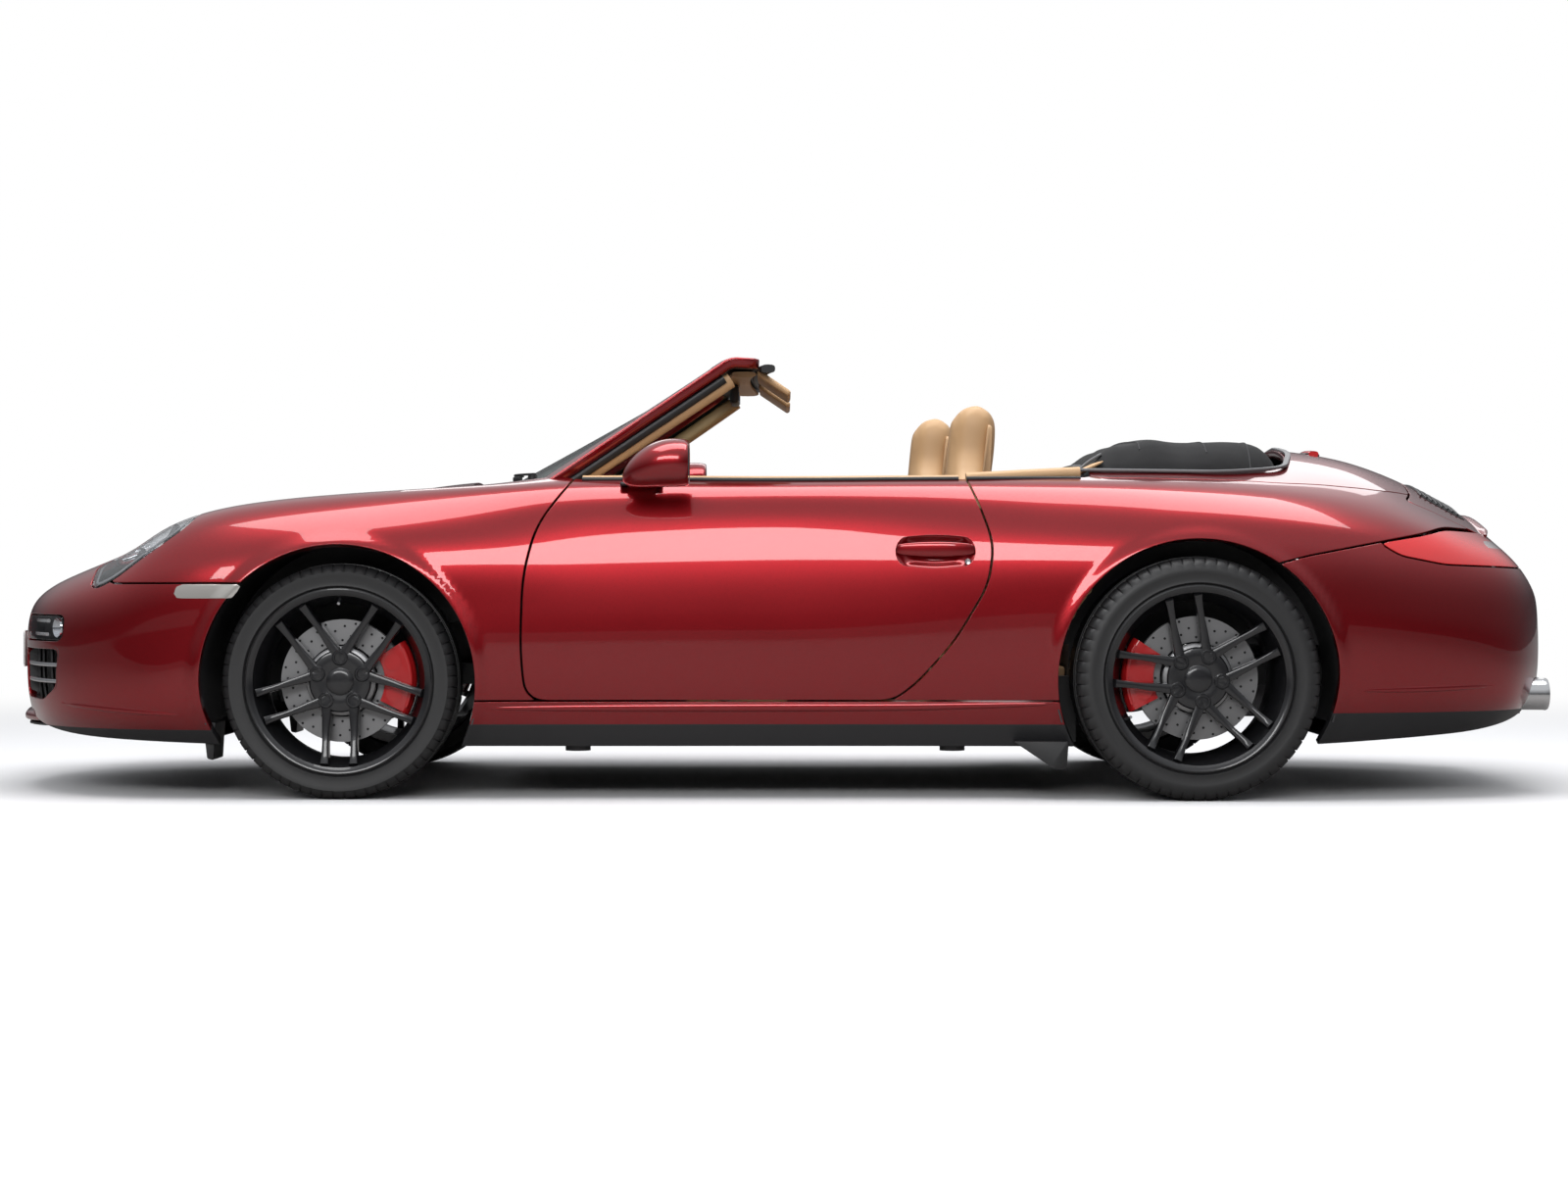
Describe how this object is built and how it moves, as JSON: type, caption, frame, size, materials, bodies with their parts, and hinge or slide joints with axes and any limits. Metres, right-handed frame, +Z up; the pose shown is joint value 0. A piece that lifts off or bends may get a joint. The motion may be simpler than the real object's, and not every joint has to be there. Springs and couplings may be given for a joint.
{
  "type": "rear-engined open sports car with a folded soft top (convertible)",
  "caption": "Low two-door convertible car, soft top folded, with opening doors, front and engine lids, steering and rolling wheels.",
  "frame": {"origin": "on the ground, under the middle of the overall length and width", "axes": "+Z up, the nose along -X, the car's left side along -Y"},
  "size_m": [4.435, 2.01, 1.244],
  "materials": {
    "paint": "gloss",
    "black_trim": "matte",
    "underbody": "matte",
    "clear_lens": "gloss",
    "red_lens": "gloss",
    "screen_glass": "gloss",
    "top_cloth": "matte",
    "cabin_leather": "satin",
    "dash_leather": "satin",
    "engine_metal": "matte",
    "exhaust_steel": "satin",
    "plate_white": "gloss",
    "axle_steel": "matte",
    "disc_iron": "satin",
    "caliper_red": "gloss",
    "rim_black": "satin",
    "tyre_rubber": "matte",
    "wheel_leather": "satin"
  },
  "bodies": {
    "body": {"floor_pan": "underbody", "front_bumper": "paint", "rear_bumper": "paint", "sills": "paint", "fenders": "paint", "quarters": "paint", "tonneau_cover": "paint", "headlamps": "clear_lens", "tail_lamps": "red_lens", "windscreen_frame": "paint", "windscreen_glass": "screen_glass", "cowl_panel": "black_trim", "soft_top": "top_cloth", "dashboard": "dash_leather", "seats": "cabin_leather", "rear_seats": "cabin_leather", "engine": "engine_metal", "exhaust": "exhaust_steel", "number_plates": "plate_white", "front_axle": "axle_steel", "rear_axle": "axle_steel", "rear_calipers": "caliper_red"},
    "door_left": {"door_left": "paint", "mirror_left": "paint"},
    "door_right": {"door_right": "paint", "mirror_right": "paint"},
    "front_lid": {"front_lid": "paint"},
    "engine_lid": {"engine_lid": "paint"},
    "steering_wheel": {"steering_wheel": "wheel_leather"},
    "knuckle_left": {"knuckle_left": "axle_steel", "caliper_left": "caliper_red"},
    "knuckle_right": {"knuckle_right": "axle_steel", "caliper_right": "caliper_red"},
    "wheel_front_left": {"rim_front_left": "rim_black", "tyre_front_left": "tyre_rubber", "brake_disc_front_left": "disc_iron"},
    "wheel_front_right": {"rim_front_right": "rim_black", "tyre_front_right": "tyre_rubber", "brake_disc_front_right": "disc_iron"},
    "wheel_rear_left": {"rim_rear_left": "rim_black", "tyre_rear_left": "tyre_rubber", "brake_disc_rear_left": "disc_iron"},
    "wheel_rear_right": {"rim_rear_right": "rim_black", "tyre_rear_right": "tyre_rubber", "brake_disc_rear_right": "disc_iron"}
  },
  "joints": [
    {"name": "door_left_swing", "type": "hinge", "parent": "body", "child": "door_left", "pos_m": [-0.798, -0.824, 0.51], "axis": [0, 0, -1], "range_deg": [0, 56]},
    {"name": "door_right_swing", "type": "hinge", "parent": "body", "child": "door_right", "pos_m": [-0.798, 0.824, 0.51], "axis": [0, 0, 1], "range_deg": [0, 56]},
    {"name": "front_lid_lift", "type": "hinge", "parent": "body", "child": "front_lid", "pos_m": [-0.8, 0, 0.8], "axis": [0, 1, 0], "range_deg": [0, 55]},
    {"name": "engine_lid_lift", "type": "hinge", "parent": "body", "child": "engine_lid", "pos_m": [1.7, 0, 0.805], "axis": [0, -1, 0], "range_deg": [0, 60]},
    {"name": "steer_left", "type": "hinge", "parent": "body", "child": "knuckle_left", "pos_m": [-1.2075, -0.684, 0.3235], "axis": [0, 0, 1], "range_deg": [-35, 35]},
    {"name": "steer_right", "type": "hinge", "parent": "body", "child": "knuckle_right", "pos_m": [-1.2075, 0.684, 0.3235], "axis": [0, 0, 1], "range_deg": [-35, 35]},
    {"name": "steering_wheel_turn", "type": "hinge", "parent": "body", "child": "steering_wheel", "pos_m": [-0.235, -0.375, 0.77], "axis": [-0.9135, 0, -0.4067], "range_deg": [-480, 480]},
    {"name": "wheel_front_left_spin", "type": "hinge", "parent": "knuckle_left", "child": "wheel_front_left", "pos_m": [-1.2075, -0.744, 0.3235], "axis": [0, 1, 0], "continuous": true},
    {"name": "wheel_front_right_spin", "type": "hinge", "parent": "knuckle_right", "child": "wheel_front_right", "pos_m": [-1.2075, 0.744, 0.3235], "axis": [0, 1, 0], "continuous": true},
    {"name": "wheel_rear_left_spin", "type": "hinge", "parent": "body", "child": "wheel_rear_left", "pos_m": [1.1425, -0.774, 0.333], "axis": [0, 1, 0], "continuous": true},
    {"name": "wheel_rear_right_spin", "type": "hinge", "parent": "body", "child": "wheel_rear_right", "pos_m": [1.1425, 0.774, 0.333], "axis": [0, 1, 0], "continuous": true}
  ],
  "couplings": [
    {"joint": "steer_right", "follows": "steer_left", "ratio": 1},
    {"joint": "steering_wheel_turn", "follows": "steer_left", "ratio": -13.5}
  ]
}
